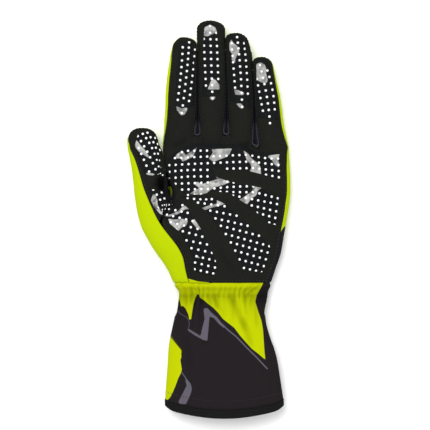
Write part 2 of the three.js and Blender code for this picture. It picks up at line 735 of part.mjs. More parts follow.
// Outlines of the grip fields on the palm and thumb, in order round each. across is a share of the
// hand's width, along of the palm's length from the wrist seam.
const palmGrips = {
  grip_palm_upper: [
    [-0.43, 0.8], [-0.425, 0.845], [-0.38, 0.882], [-0.325, 0.925], [-0.204, 0.948], [0.165, 0.94],
    [0.242, 0.9], [0.35, 0.888], [0.452, 0.892], [0.465, 0.706], [0.31, 0.74], [0.21, 0.762],
    [0.03, 0.77], [-0.08, 0.785], [-0.055, 0.73], [0.06, 0.69], [0.108, 0.68], [0.23, 0.66], [0.307, 0.648],
    [0.396, 0.6], [0.448, 0.58], [0.428, 0.394], [0.364, 0.41], [0.277, 0.478], [0.198, 0.535],
    [0.111, 0.58], [0.05, 0.618], [-0.07, 0.622], [-0.175, 0.6], [-0.31, 0.605], [-0.36, 0.66],
    [-0.41, 0.72],
  ],
  grip_palm_third: [
    [-0.153, 0.507], [-0.205, 0.548], [-0.285, 0.575], [-0.34, 0.592], [-0.2, 0.588],
    [-0.032, 0.575], [0.024, 0.54], [0.116, 0.467], [0.206, 0.397], [0.293, 0.331],
    [0.371, 0.267], [0.384, 0.225], [0.34, 0.11], [0.314, 0.074], [0.166, 0.092], [0.13, 0.163],
    [0.095, 0.224], [0.052, 0.286], [0.008, 0.347], [-0.048, 0.408], [-0.119, 0.486],
  ],
  grip_heel: [
    [-0.464, 0.44], [-0.39, 0.5], [-0.355, 0.575], [-0.272, 0.517], [-0.223, 0.44], [-0.164, 0.367],
    [-0.146, 0.322], [-0.082, 0.218], [-0.048, 0.146], [-0.04, 0.109], [-0.061, 0.061],
    [-0.131, 0.052], [-0.217, 0.085], [-0.231, 0.152], [-0.259, 0.237], [-0.295, 0.293],
    [-0.33, 0.347],
  ],
};

const thumbGrips = {
  grip_thumb_base: [
    [-0.562, 0.636], [-0.43, 0.63], [-0.424, 0.56], [-0.446, 0.51], [-0.482, 0.475], [-0.53, 0.545],
  ],
  grip_thumb: [
    [-0.66, 1.02], [-0.575, 1.03], [-0.53, 0.96], [-0.5, 0.885], [-0.484, 0.8], [-0.478, 0.745],
    [-0.55, 0.725], [-0.615, 0.745], [-0.655, 0.83], [-0.69, 0.93],
  ],
};

const wasm = await Module();
wasm.setup();

function solidOf(geometry) {
  const bare = geometry.clone();
  bare.deleteAttribute('normal');
  bare.deleteAttribute('uv');
  const { attributes, index } = mergeVertices(bare);
  return new wasm.Manifold(new wasm.Mesh({
    numProp: 3,
    vertProperties: attributes.position.array,
    triVerts: Uint32Array.from(index.array),
  }));
}

function geometryOf(solid) {
  const { vertProperties, triVerts } = solid.getMesh();
  const geometry = new THREE.BufferGeometry();
  geometry.setAttribute('position', new THREE.BufferAttribute(vertProperties, 3));
  geometry.setIndex(new THREE.BufferAttribute(triVerts, 1));
  geometry.computeVertexNormals();
  return geometry;
}

// A skin of silicone that follows a panel's surface just above it
function gripSkin({ grid, keep }) {
  const height = gripClearance + gripThickness;
  const skin = grid.map((row) => row.map(({ at, out }) => ({
    at: at.map((value, i) => value + height * out[i]),
    out,
  })));
  return solidOf(sheet(skin, gripThickness, keep));
}

// The part of a skin that lies inside an outline of x, y places
function gripField(skin, outline) {
  const shape = new THREE.Shape(outline.map(([x, y]) => new THREE.Vector2(x, y)));
  const prism = new THREE.ExtrudeGeometry(shape, { depth: 2 * palmThickness, bevelEnabled: false });
  return geometryOf(skin.intersect(solidOf(prism)));
}

function onPalm(outline) {
  return outline.map(([across, along]) => [across * handWidth, wristSeamY + along * palmLength]);
}

function named(name, geometry, look) {
  const mesh = new THREE.Mesh(geometry, new THREE.MeshStandardMaterial(look));
  mesh.name = name;
  return mesh;
}

const palm = palmSurface();
const thumbFront = thumbFrontSurface();

const glove = new THREE.Group();
glove.add(
  named('palm_panel', sheet(palm.grid, suedeWall, palm.keep), suede),
  named('back_panel', backPanel(), yellowKnit),
  named('thumb_front_panel', sheet(thumbFront.grid, suedeWall), suede),
  named('thumb_back_panel', thumbBackPanel(), yellowKnit),
  named('cuff', cuff(), printedKnit),
  named('hem_binding', hemBinding(), binding),
);
for (let i = 0; i + 1 < fingers.length; i += 1) {
  const name = `fourchette_${fingers[i].name}_${fingers[i + 1].name}`;
  glove.add(named(name, fourchette(fingers[i], fingers[i + 1]), darkKnit));
}

const palmSkin = gripSkin(palm);
for (const finger of fingers) {
  glove.add(named(`grip_${finger.name}`, gripField(palmSkin, fingerGripOutline(finger)), silicone));
}
for (const [name, outline] of Object.entries(palmGrips)) {
  glove.add(named(name, gripField(palmSkin, onPalm(outline)), silicone));
}
const thumbSkin = gripSkin(thumbFront);
for (const [name, outline] of Object.entries(thumbGrips)) {
  glove.add(named(name, gripField(thumbSkin, onPalm(outline)), silicone));
}

export default glove;
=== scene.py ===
"""Left-hand karting glove, lying on its back with the palm up.

Lengths are in millimetres where a comment doesn't say metres or pixels.
"""

import math

import bmesh
import bpy
import numpy as np
from mathutils import Matrix, Vector, noise
from mathutils.bvhtree import BVHTree
from mathutils.kdtree import KDTree


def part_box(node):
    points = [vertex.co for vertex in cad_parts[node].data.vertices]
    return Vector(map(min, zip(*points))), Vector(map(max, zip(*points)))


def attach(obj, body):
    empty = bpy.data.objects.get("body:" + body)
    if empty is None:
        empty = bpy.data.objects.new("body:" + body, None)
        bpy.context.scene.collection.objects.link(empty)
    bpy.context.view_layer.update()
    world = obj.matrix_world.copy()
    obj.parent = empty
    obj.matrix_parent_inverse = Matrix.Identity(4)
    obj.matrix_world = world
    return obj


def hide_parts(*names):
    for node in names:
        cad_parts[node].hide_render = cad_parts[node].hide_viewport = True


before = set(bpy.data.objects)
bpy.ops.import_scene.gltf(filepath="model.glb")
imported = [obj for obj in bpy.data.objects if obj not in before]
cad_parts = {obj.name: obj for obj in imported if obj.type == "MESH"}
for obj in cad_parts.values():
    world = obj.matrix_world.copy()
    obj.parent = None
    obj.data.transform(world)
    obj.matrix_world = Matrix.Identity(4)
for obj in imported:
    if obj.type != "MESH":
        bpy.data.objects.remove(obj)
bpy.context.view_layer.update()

MM = 0.001
UP = Vector((0, 0, 1))

# The photograph: its width and height in pixels, millimetres per pixel, the pixel that lies over the origin,
# and the one in its middle
PHOTO = 430
PIXEL = 0.8
ORIGIN_PIXEL = (222, 215)
MIDDLE_PIXEL = (215, 215)

# Walls of the cloth, as cut
SUEDE_WALL = 1.4
KNIT_WALL = 1.2
CUFF_WALL = 1.3

# Where the hand is sewn to the cuff, and below which an edge of the cuff is at its hem: values of y
WRIST_SEAM = -54.4
HEM_SIDE = -120
# The tube round the wrist: the height of its middle, half its height and half its width
TUBE_MIDDLE = 12.5
TUBE_HALF_HEIGHT = 12
TUBE_HALF_WIDTH = 35
# Fingers closer than this touch
TOUCHING = 4.5
# Corners of the CAD mesh closer than this are one corner
WELD = 0.01
# Panels are subdivided this many times, and their cage may leave the corners it passes through by this much
LEVELS = 3
CAGE_REACH = 0.45


def place(px, py):
    """The point of the floor plan under a pixel."""
    return (px - ORIGIN_PIXEL[0]) * PIXEL, (ORIGIN_PIXEL[1] - py) * PIXEL


def places(*pixels):
    """The points of the floor plan under several pixels, one row each."""
    return np.array([place(*pixel) for pixel in pixels])


def ease(low, high, value):
    """A smooth rise from 0 at the low value to 1 at the high one."""
    t = np.clip((value - low) / (high - low), 0, 1)
    return t * t * (3 - 2 * t)


# ---- Charts, in pixels of the photograph

# Fluorescent yellow on the cuff, drawn past the silhouette at the thumb side
CUFF_YELLOW = [
    places((150, 270), (263.6, 270), (263.4, 282.4), (261, 287.2), (258.6, 291.5), (256.7, 294.9),
           (255.2, 301.6), (258.1, 311.1), (261.4, 320.7), (262.9, 329.3), (263.8, 342.7), (264.3, 351.3),
           (265.3, 359.4), (258.1, 353.2), (251.4, 348), (245.7, 341.7), (239.9, 335), (234.2, 327.4),
           (227.5, 322.1), (222.7, 318.3), (217.9, 312.1), (213.1, 307.3), (207.4, 303), (203.6, 299.7),
           (200.2, 297.7), (199, 294.2), (197.4, 293.9), (195.4, 297.7), (193.5, 303.5), (192.1, 312.1),
           (191.1, 319.5), (189.4, 319.3), (188.3, 314), (185.6, 308.3), (183, 305.9), (181.1, 306.2),
           (180.6, 303.5), (178.7, 298.7), (150, 297)),
    places((150, 334.5), (171.2, 336), (182, 349.9), (181.1, 353.2), (181.6, 356.1), (180.4, 359.9),
           (181.1, 363.8), (182, 369.5), (180.6, 373.3), (178.2, 378.1), (175.4, 385.8), (173, 391.5),
           (170.6, 396.3), (167.7, 399.8), (150, 401)),
]
# Grey flashes on the cuff
CUFF_GREY = [
    places((203.6, 308.3), (207.4, 307.8), (211.2, 312.1), (217, 316.9), (220.8, 321.7), (225.6, 326.4),
           (223.7, 327.4), (218.9, 323.6), (214.1, 317.8), (209.5, 316.1), (207.4, 340.3), (203.1, 339.4),
           (195, 335), (188.3, 330.5), (187.1, 327.4), (200.7, 335.5), (202.4, 327.4), (204.7, 318.8),
           (203.8, 311.1)),
    places((185.9, 377.1), (190.7, 382.9), (192.1, 387.7), (190.7, 393.4), (185.9, 403.5), (177.7, 403),
           (181.6, 395.3), (186.8, 384.8), (185.5, 379.5)),
]
# Thin lines printed on the cuff, each with its half-width: grey, fainter grey, dark on yellow
GREY_LINES = [
    (places((223, 325), (229.2, 330.6), (236, 336), (246, 346.5), (256, 356.4), (267, 368.2)), 0.5),
    (places((181.6, 371.4), (186.6, 378.6)), 0.35),
]
FAINT_LINES = [
    (places((178.2, 311.4), (180.6, 314), (186.4, 316.9), (188.7, 319.7), (189.4, 323.6),
            (188.7, 327.4)), 0.4),
]
DARK_LINES = [
    (places((170, 335.6), (181.6, 349.4), (182, 351.3)), 0.45),
]
# The curved seam at the thumb side of the wrist
WRIST_CURVE = [
    (places((174, 287), (178.4, 286), (182.4, 283.6), (188.3, 279.4)), 0.3),
]
# Where the back panel is printed black at the little finger side
BACK_BLACK = places((284, 226.6), (310, 224), (310, 300), (252, 300), (256, 284), (268, 258), (278, 236))
# Painted shade: the depth between thumb and palm is coloured black where it lies in shadow, which leaves a
# yellow crescent
CROTCH_SHADE = places((160, 160), (169, 160), (174, 186.5), (167.6, 186.5), (169.2, 189.5), (169.8, 193),
                      (169.4, 196), (168.2, 199), (176, 199.2), (176, 206), (161, 206), (161, 186.5))
# A fold of yellow knit that shows in the thumb's crotch, and the yellow panel's corner under the heel
CROTCH_SLIVER = places((167.2, 186.6), (170.6, 188.4), (172.6, 192.2), (172, 196), (168.6, 199.4),
                       (169.6, 196), (170, 192.9), (168.9, 189.6))
HEEL_CORNER = places((180, 272), (186.4, 278.2), (190, 278.9), (198, 281.2), (209, 282.2), (211, 286),
                     (180, 286))

# The light crescent round the thumb's base, printed across the edge of its grip fields
THUMB_ARC = places((153.3, 194.2), (151, 200.4), (154.4, 207.2), (160.2, 213.8), (165.9, 216.4),
                   (171.7, 216.4), (178.5, 213.8), (185.4, 209.2), (189.5, 209.2), (184.3, 205.3),
                   (182, 207.6), (177.4, 211.6), (170.5, 214.7), (165.9, 215), (160.8, 210.7), (157.9, 205),
                   (157.3, 199.2), (155.6, 195.4))
# Light camouflage patches on the grip print
CAMO = [
    places((174.6, 158.5), (176.9, 154.3), (182.5, 150.9), (185.7, 155.3), (191.3, 151.6), (196.8, 147.6),
           (193.1, 156.7), (188.0, 159.4), (182.9, 161.7), (180.6, 158.5)),
    places((211.6, 149.4), (232.0, 148.6), (229.6, 153.9), (226.4, 157.1), (219.0, 159.9), (213.5, 162.2),
           (208.8, 158.5), (213.0, 153.0)),
    places((243.1, 150.4), (248.6, 154.3), (251.4, 158.5), (257.4, 163.1), (260.2, 166.8), (261.1, 175.4),
           (249.5, 171.5), (251.4, 167.8), (250.5, 164.1), (246.8, 160.4)),
    places((266.2, 156.0), (280.4, 154.0), (277.7, 158.5), (279.1, 164.1), (278.7, 167.8), (274.5, 165.0),
           (271.7, 159.9)),
    places((213.5, 176.0), (227.3, 181.2), (230.0, 182.1), (222.7, 185.3), (215.3, 187.2), (209.8, 190.4),
           (205.1, 194.6), (196.8, 195.5), (189.4, 193.9), (199.6, 188.1), (192.2, 182.6), (197.7, 182.1),
           (202.4, 184.4), (207.9, 182.1), (219.0, 178.9)),
    places((251.4, 185.4), (262.5, 187.2), (258.3, 190.0), (256.0, 195.5), (251.4, 198.3), (246.8, 204.7),
           (238.0, 200.6), (244.9, 196.4), (251.4, 191.8), (252.8, 188.6)),
    places((201.4, 208.2), (209.8, 205.2), (217.2, 203.8), (216.7, 200.1), (224.9, 203.8), (219.0, 205.9),
           (211.6, 207.7), (205.1, 210)),
    places((168.1, 218.6), (175.5, 219.6), (182.0, 218.6), (188.0, 220.5), (186.6, 225.1), (182.0, 227.4),
           (178.3, 231.1), (174.6, 229.7), (170.9, 225.1)),
    places((191.3, 221.4), (195.0, 218.6), (197.7, 223.3), (201.6, 230), (196.8, 227.9)),
    places((195.0, 256.6), (197.7, 254.7), (200.0, 258.4)),
    THUMB_ARC,
    places((176.5, 106.5), (182, 108.6), (187.6, 107.6), (186.6, 111.6), (184, 115.4), (180, 115.4),
           (177.2, 111.6)),
    places((203.4, 36.4), (203, 31.6), (205.2, 27.6), (210.2, 25.4), (215.4, 28.2), (217.9, 34.4),
           (215.4, 33.4), (211.4, 35.2), (207.8, 36.8)),
    places((207.4, 89.8), (209.6, 85), (212.2, 78.2), (215.8, 80.6), (219.4, 85.2), (219.4, 89.6)),
    places((208.8, 96.8), (216.4, 96.8), (214.6, 99.6), (211.4, 101)),
    places((231, 40), (233.6, 43.8), (237.2, 46.4), (239.2, 51.8), (237.4, 55), (235, 59.8), (235.2, 63),
           (231.6, 60.4), (232.2, 54.8), (229.4, 50.4), (229, 45)),
    places((234, 89.2), (239.4, 91), (243.8, 93), (243.6, 95.4), (235.4, 95)),
    places((237.4, 103.4), (241.4, 104), (244.4, 108), (241.8, 110), (238.6, 107)),
    places((254.6, 68), (257.2, 64), (260.6, 63), (264.4, 65), (266.2, 69.4), (265.8, 73.6), (267.6, 80),
           (266.4, 83.4), (262.2, 83), (257.6, 80.8), (254.4, 76), (253.6, 72)),
    places((134.6, 138.4), (138.2, 142), (141, 146), (144.2, 149), (147, 152.6), (150, 158.6), (144.8, 155.6),
           (139.4, 152), (136, 148), (134.4, 143)),
    places((147, 172.8), (155.6, 174), (153, 175.8), (146.4, 174.6)),
]

# Light tails of the print below the finger fields
TAILS = [
    places((177.4, 106.8), (180, 108.4), (182.6, 106.6), (184.6, 108.4), (187.7, 107.4), (187, 111),
           (184.6, 114.6), (181.4, 115.6), (178.6, 112.6)),
    places((209, 96.7), (215.8, 96.7), (214.6, 99.2), (212.4, 100.6), (210.2, 99.2)),
    places((236.4, 104), (239, 103.2), (241, 105), (244.2, 104.2), (244, 107.4), (242, 109), (239.4, 107.6)),
    THUMB_ARC,
]

# Silicone dots in rows: first dot, a dot half-way where the row bends, last dot, how many
DOTS = {
    "grip_palm_upper": [
        ((182, 152.3), (182, 152.3), 1), ((188.1, 151), (207, 150.8), 4), ((175.1, 158.2), (245.7, 155), 12),
        ((252.2, 155.9), (265, 158.2), (277.8, 158.7), 5), ((169.5, 165.3), (207.8, 163.4), (246, 161.9), 13),
        ((252.6, 161.9), (265.2, 163.6), (278.2, 165), 5),
        ((169.7, 171.9), (187.7, 170.3), (207.5, 170.1), 7), ((227.1, 168.9), (252.8, 168.2), 5),
        ((259.3, 168.8), (278.4, 171.1), 4), ((169.7, 178.4), (188, 176.7), 4),
        ((194.4, 176.6), (207.6, 176.6), 3), ((265.8, 174.9), (278.6, 177.4), 3),
        ((175.7, 183.9), (207.8, 182.7), 6), ((227.3, 181.8), (233.6, 182.6), 2),
        ((182.3, 189.7), (207.8, 189), 5), ((214.4, 188.5), (233.6, 186.9), (253.2, 186.4), 7),
        ((188.1, 195), (201.3, 194.5), 3), ((220.4, 191.9), (252.8, 192.4), 6),
        ((259.2, 193.5), (277.5, 198.3), 4), ((233.1, 195.5), (276.7, 204.1), 8),
        ((251.6, 205.5), (275.9, 211.3), 5), ((256.8, 212.8), (275, 217.9), 4),
        ((269, 222.5), (274.2, 224.6), 2),
    ],
    "grip_palm_third": [
        ((187.7, 198.4), (200.4, 199.4), (211.8, 199.2), 5), ((198.1, 202.7), (224.5, 206.3), 5),
        ((210.3, 210.7), (236.5, 215.7), 5), ((215.5, 218.4), (247.4, 225.7), 6),
        ((220.9, 225.8), (258.7, 235.6), 7), ((225.8, 233.9), (269, 246), 8),
        ((230.8, 242.3), (267.3, 252.4), 7), ((235.1, 250.5), (265.6, 259.1), 6),
        ((239.5, 259.2), (263.6, 265.9), 5), ((243.8, 267.7), (261.8, 272), 4),
    ],
    "grip_heel": [
        ((182.6, 205.3), (182.6, 205.3), 1), ((175.6, 210.3), (187.8, 212.9), 3),
        ((173.4, 216.2), (192.7, 221), 4), ((170.9, 222.2), (197.6, 228.8), 5),
        ((176.6, 229.4), (202.3, 236.5), 5), ((186.7, 240.2), (207, 244.3), 4),
        ((191.6, 248), (212, 252.6), 4), ((196.6, 256), (215.7, 260.6), 4),
        ((195.2, 262.3), (214.9, 267.3), 4), ((194.7, 269), (213.2, 273.2), 4),
        ((166.6, 206), (171.8, 203.6), 3),
    ],
    "grip_thumb_base": [
        ((153.4, 189.7), (160.3, 199.8), 3), ((158, 207.8), (167.2, 214.7), 3),
        ((161.7, 192.6), (166.1, 191.7), 2), ((164.5, 198.6), (164.5, 198.6), 1),
        ((162.5, 205.5), (166.6, 204.5), 3), ((162.6, 209.4), (169.1, 209.2), 3),
    ],
    "grip_thumb": [
        ((138.9, 148.1), (149.3, 171.7), 5), ((138, 136.4), (147.4, 151.9), (155.6, 169.4), 7),
        ((143, 134.1), (153.4, 151), (160.4, 173.6), 8), ((147.6, 133), (157, 150.8), (162.7, 175.1), 8),
        ((155, 138.1), (159.8, 150.1), 3), ((158.2, 174.8), (158.2, 174.8), 1),
    ],
    "grip_index": [
        ((182.9, 47.9), (181, 74), (177.9, 100.1), 9), ((189.2, 42.9), (186.6, 74.6), (181.8, 113.2), 12),
        ((194.8, 50), (192.4, 76), (189, 101.2), 9),
    ],
    "grip_middle": [
        ((203.5, 32.8), (206, 85.8), 9), ((210, 26.8), (212.5, 98.5), 12), ((216.4, 33.4), (218.2, 79.2), 8),
    ],
    "grip_ring": [
        ((231.6, 43.7), (235.1, 87.9), 8), ((237, 37.8), (240.3, 70), (242, 107), 12),
        ((244, 43.8), (246.2, 67), (247.7, 93.9), 9),
    ],
    "grip_little": [
        ((255.7, 73), (262.8, 110.9), 7), ((259.8, 65.7), (266.2, 94), (269.9, 123.3), 10),
        ((267.1, 71), (272.2, 90), (274.5, 109.5), 7),
    ],
}

# Gaps between fingers that touch: points on the gap, each with how far its sides are drawn in
GAPS = [
    [((196.7, 20), 1.3), ((196.7, 39.7), 1.3), ((197, 49.4), 1.2), ((197.2, 61), 1.15), ((197.6, 75), 1.05),
     ((197.8, 90), 1.05), ((197.8, 108), 0.9), ((197.6, 118), 0.3), ((197.4, 126), 0)],
    [((225, 10), 1.25), ((225.2, 38), 1.25), ((225.8, 49.4), 1.1), ((226.2, 61), 1.1), ((226.4, 75), 1.05),
     ((226.4, 90), 1.05), ((226.4, 104), 0.9), ((226.4, 114), 0.3), ((226.4, 122), 0)],
    [((252.6, 40), 1.15), ((252.6, 64), 1.15), ((253, 72.4), 1.1), ((253.8, 85), 1.05), ((254.4, 100), 1.05),
     ((255, 113), 0.9), ((255.4, 123), 0.3), ((255.8, 132), 0)],
    [((159, 132), 0), ((160.5, 142), 0.8), ((163, 155.6), 1.8), ((167.1, 175.1), 1.7), ((169, 186), 2.1),
     ((170.4, 193), 2.4), ((171.6, 200), 2.4), ((172.4, 208), 1), ((172.8, 214), 0)],
]
# The suede's edge on the index finger lies further in on the palm side
INDEX_EDGE = [((176, 36), 0.6), ((174, 49.4), 1.8), ((172.2, 61), 1.5), ((171, 72.4), 1.3),
              ((169.6, 84), 0.7), ((168.2, 95), 0)]

# Folds that fan out below the elastic: from, to, depth and half-width, a ridge where it is negative
CUFF_FOLDS = [
    ((230.5, 292), (247, 334), 1.1, 2.3), ((242, 312), (253, 350), 0.9, 2.6),
    ((244, 298), (264, 282), 0.7, 1.1), ((238, 296), (254, 285), 0.5, 0.9),
    ((213.5, 292), (218.5, 310), 0.8, 1.2), ((206, 292), (211, 306), 0.6, 1.0),
    ((182.5, 288), (186, 310), 0.4, 1.6), ((191.5, 284), (191, 306), 0.7, 1.2),
    ((199.5, 282), (198, 296), 0.6, 1.0), ((223, 294), (231, 322), -0.8, 2.4),
    ((236, 292), (252, 328), -0.7, 2.2), ((256, 296), (257, 330), 0.6, 1.6),
    ((204, 310), (206, 350), 0.5, 3.0), ((268, 300), (272, 350), 0.6, 2.4),
    ((184, 330), (192, 372), 0.4, 3.5),
]

# Round hollows pressed into the suede: middle, depth and radius
HOLLOWS = [
    ((164.5, 188), 3.2, 6),
    ((165, 197), 2.4, 5),
    ((163, 179), 2.4, 4.5),
]
# Creases pressed into the suede: from, to, depth and half-width
CREASES = [
    ((176, 196), (214, 199.6), 0.9, 1.6),
    ((173, 203), (196, 199.5), 0.5, 1.3),
    ((253.5, 141.5), (260, 149.5), 0.9, 1.5),
    ((157, 176), (176, 200), 1.2, 2.2),
    ((150, 184), (168, 186), 0.9, 2.4),
    ((240, 146), (252, 143), 0.6, 2.2),
    ((170, 148), (190, 138.5), 0.9, 2.4),
    ((196, 141.5), (226, 143.5), 0.6, 2.6),
    ((228, 143), (252, 146), 0.6, 2.4),
    ((262, 203), (284, 196), 0.6, 2.2),
    ((216, 244), (236, 276), 0.5, 3),
    ((170, 235), (186, 262), 0.5, 2.6),
    ((172, 60), (194, 62), 0.25, 1.6),
    ((176, 92), (194, 93), 0.25, 1.8),
    ((200, 58), (222, 58), 0.25, 1.6),
    ((202, 94), (224, 94), 0.25, 1.8),
    ((228, 68), (250, 68), 0.25, 1.6),
    ((232, 99), (252, 99), 0.25, 1.8),
    ((256, 88), (276, 86), 0.25, 1.6),
]


# ---- Meshes

def numbers(mesh):
    """The places of the vertices, in metres."""
    found = np.empty(len(mesh.vertices) * 3, np.float32)
    mesh.vertices.foreach_get("co", found)
    return found.reshape(-1, 3).astype(float)


def normals_of(mesh):
    """The directions that the surface faces at its vertices."""
    found = np.empty(len(mesh.vertices) * 3, np.float32)
    mesh.vertex_normals.foreach_get("vector", found)
    return found.reshape(-1, 3).astype(float)


def move_to(mesh, points):
    """Moves the vertices to these places, in metres."""
    mesh.vertices.foreach_set("co", points.astype(np.float32).ravel())
    mesh.update()


def outer_skin(node, wall, faces_in=False):
    """The outside of a panel that CAD gives as a closed sheet, in quads, without the rim and the inside."""
    bm = bmesh.new()
    bm.from_mesh(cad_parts[node].data)
    bmesh.ops.remove_doubles(bm, verts=bm.verts, dist=WELD * MM)
    bm.normal_update()
    sheet = BVHTree.FromBMesh(bm)
    # Faces with the wall's other side close behind them
    backed = set()
    for face in bm.faces:
        start = face.calc_center_median() - face.normal * 0.02 * MM
        _, normal, _, deep = sheet.ray_cast(start, -face.normal, 1.8 * wall * MM)
        if deep and deep > 0.5 * wall * MM and normal.dot(face.normal) < -0.5:
            backed.add(face)
    # Faces at an edge that is as long as the wall is thick and runs straight through it are its rim
    spread, straight = (0.3, 0.7) if faces_in else (0.5, 0.6)
    rim = set()
    for edge in bm.edges:
        if abs(edge.calc_length() / (wall * MM) - 1) < spread:
            way = (edge.verts[1].co - edge.verts[0].co).normalized()
            turned = [abs(face.normal.dot(way)) for v in edge.verts for face in v.link_faces
                      if face in backed and face not in edge.link_faces]
            if turned and sum(turned) / len(turned) > straight:
                rim.update(edge.link_faces)
    # What is left falls apart into the outside, the inside and scraps
    low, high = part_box(node)
    middle = (low + high) / 2
    left, kept = set(bm.faces) - rim, set()
    while left:
        island = [left.pop()]
        for face in island:
            for edge in face.edges:
                bends = edge.calc_face_angle(0) > math.radians(50)
                for other in edge.link_faces:
                    if other in left and not (bends and (face not in backed or other not in backed)):
                        left.remove(other)
                        island.append(other)
        outwards = sum(f.calc_area() * f.normal.dot(f.calc_center_median() - middle) for f in island)
        if len(island) >= 20 and (outwards < 0) == faces_in:
            kept.update(island)
    bmesh.ops.delete(bm, geom=list(set(bm.faces) - kept), context="FACES")
    bmesh.ops.holes_fill(bm, edges=[edge for edge in bm.edges if edge.is_boundary], sides=4)
    bmesh.ops.remove_doubles(bm, verts=bm.verts, dist=0.4 * MM)
    bmesh.ops.join_triangles(bm, faces=bm.faces, angle_face_threshold=math.radians(60),
                             angle_shape_threshold=math.radians(80))
    mesh = bpy.data.meshes.new(node + "_skin")
    bm.to_mesh(mesh)
    bm.free()
    return mesh


def smoothed(mesh, levels):
    """A finer mesh on a smooth surface that still passes through the corners of the coarse one."""
    target = numbers(mesh)
    obj = bpy.data.objects.new("work", mesh)
    bpy.context.scene.collection.objects.link(obj)
    finer = obj.modifiers.new("finer", "SUBSURF")
    finer.levels = finer.render_levels = levels
    finer.boundary_smooth = "PRESERVE_CORNERS"
    cage = target.copy()
    for _ in range(4):
        got = numbers(obj.evaluated_get(bpy.context.evaluated_depsgraph_get()).data)[:len(target)]
        cage += 0.9 * (target - got)
        cage = target + np.clip(cage - target, -CAGE_REACH * MM, CAGE_REACH * MM)
        move_to(mesh, cage)
    fine = bpy.data.meshes.new_from_object(obj.evaluated_get(bpy.context.evaluated_depsgraph_get()))
    bpy.data.objects.remove(obj)
    points = numbers(fine)
    points[:, 2] = np.maximum(points[:, 2], 0)
    move_to(fine, points)
    fine.shade_smooth()
    return fine


def tree_of(*meshes):
    """A tree of faces for casting rays at."""
    bm = bmesh.new()
    for mesh in meshes:
        bm.from_mesh(mesh)
    found = BVHTree.FromBMesh(bm)
    bm.free()
    return found


def rim_distance(mesh):
    """How far each vertex lies from the sheet's edge."""
    bm = bmesh.new()
    bm.from_mesh(mesh)
    rim = [edge for edge in bm.edges if edge.is_boundary]
    tree = KDTree(len(rim) * 3)
    for i, edge in enumerate(rim):
        a, b = (v.co for v in edge.verts)
        for j, share in enumerate((0, 0.33, 0.67)):
            tree.insert(a.lerp(b, share), 3 * i + j)
    tree.balance()
    far = np.array([tree.find(v.co)[2] for v in bm.verts]) / MM
    bm.free()
    return far


def field_distance(points, outline):
    """Signed distance from an outline in the floor plan, below zero inside."""
    best = np.full(len(points), np.inf)
    within = np.zeros(len(points), bool)
    for a, b in zip(outline, np.roll(outline, -1, 0)):
        edge, to_point = b - a, points - a
        share = np.clip(to_point @ edge / (edge @ edge + 1e-12), 0, 1)
        best = np.minimum(best, np.linalg.norm(to_point - share[:, None] * edge, axis=1))
        crosses = (a[1] > points[:, 1]) != (b[1] > points[:, 1])
        at = a[0] + (points[:, 1] - a[1]) / (b[1] - a[1] + 1e-12) * (b[0] - a[0])
        within ^= crosses & (points[:, 0] < at)
    return np.where(within, -best, best)


def store(mesh, name, values):
    """Keeps a number for each vertex as an attribute that materials can read."""
    mesh.attributes.new(name, "FLOAT", "POINT").data.foreach_set("value", values.astype(np.float32))


def chart(mesh, name, *outlines):
    """Stores how far each vertex lies outside the nearest of these outlines."""
    points = numbers(mesh)[:, :2] / MM
    store(mesh, name, np.min([field_distance(points, outline) for outline in outlines], axis=0))


def roughen(points, size, seed):
    """Smooth random heights about zero, with lumps of about this size."""
    shift = Vector((seed * 7.3, seed * 3.1, seed * 5.7))
    return np.array([noise.noise(Vector(p) / size + shift) for p in points])


def crease_depth(points, creases, hollows=()):
    """How deep these creases and hollows go at each point."""
    depth = np.zeros(len(points))
    for start, end, deep, half in creases:
        a, b = np.array(place(*start)), np.array(place(*end))
        share = np.clip((points[:, :2] - a) @ (b - a) / ((b - a) @ (b - a)), 0, 1)
        off = np.linalg.norm(points[:, :2] - a - share[:, None] * (b - a), axis=1)
        fade = ease(0, 0.25, share) * ease(0, 0.25, 1 - share)
        depth += deep * fade * np.exp(-(off / half) ** 2)
    for middle, deep, radius in hollows:
        off = np.linalg.norm(points[:, :2] - np.array(place(*middle)), axis=1)
        depth += deep * np.exp(-(off / radius) ** 2)
    return depth


def along(line, y):
    """The x and the amount of a charted line at each y."""
    spots = np.array([(*place(*pixel), amount) for pixel, amount in line])[::-1]
    return np.interp(y, spots[:, 1], spots[:, 0]), np.interp(y, spots[:, 1], spots[:, 2])


def draw_in(mesh):
    """Draws the sides of the gaps between fingers together, and the suede's edge in on the index finger."""
    points = numbers(mesh) / MM
    x, y, z = points.T
    moved = np.zeros(len(x))
    for gap in GAPS:
        centre, amount = along(gap, y)
        off = x - centre
        moved -= np.sign(off) * np.minimum(amount, np.abs(off)) * (1 - ease(2, 9, np.abs(off)))
    edge, amount = along(INDEX_EDGE, y)
    moved += amount * np.exp(-((x - edge) / 3.2) ** 2) * ease(9, 14, z)
    points[:, 0] += moved
    move_to(mesh, points * MM)
    return mesh


def press(mesh, height):
    """Moves the vertices along their normals by a height, but not below the floor."""
    points = numbers(mesh) + normals_of(mesh) * height[:, None] * MM
    points[:, 2] = np.maximum(points[:, 2], 0)
    move_to(mesh, points)


def sewn_edge(mesh, depth, width):
    """The turned-in edge of a panel, as a height."""
    return -depth * np.exp(-(rim_distance(mesh) / width) ** 2)


def piece(name, mesh, finishes, node, wall=None):
    """A finished piece that stands for a CAD node. A wall turns a sheet into cloth."""
    obj = bpy.data.objects.new(name, mesh)
    bpy.context.scene.collection.objects.link(obj)
    mesh.materials.clear()
    for finish in finishes:
        mesh.materials.append(finish)
    if wall:
        cloth = obj.modifiers.new("wall", "SOLIDIFY")
        cloth.thickness = wall * MM
        cloth.offset = -1
        cloth.material_offset = 1
    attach(obj, "root")
    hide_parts(node)
    return obj


# ---- Materials

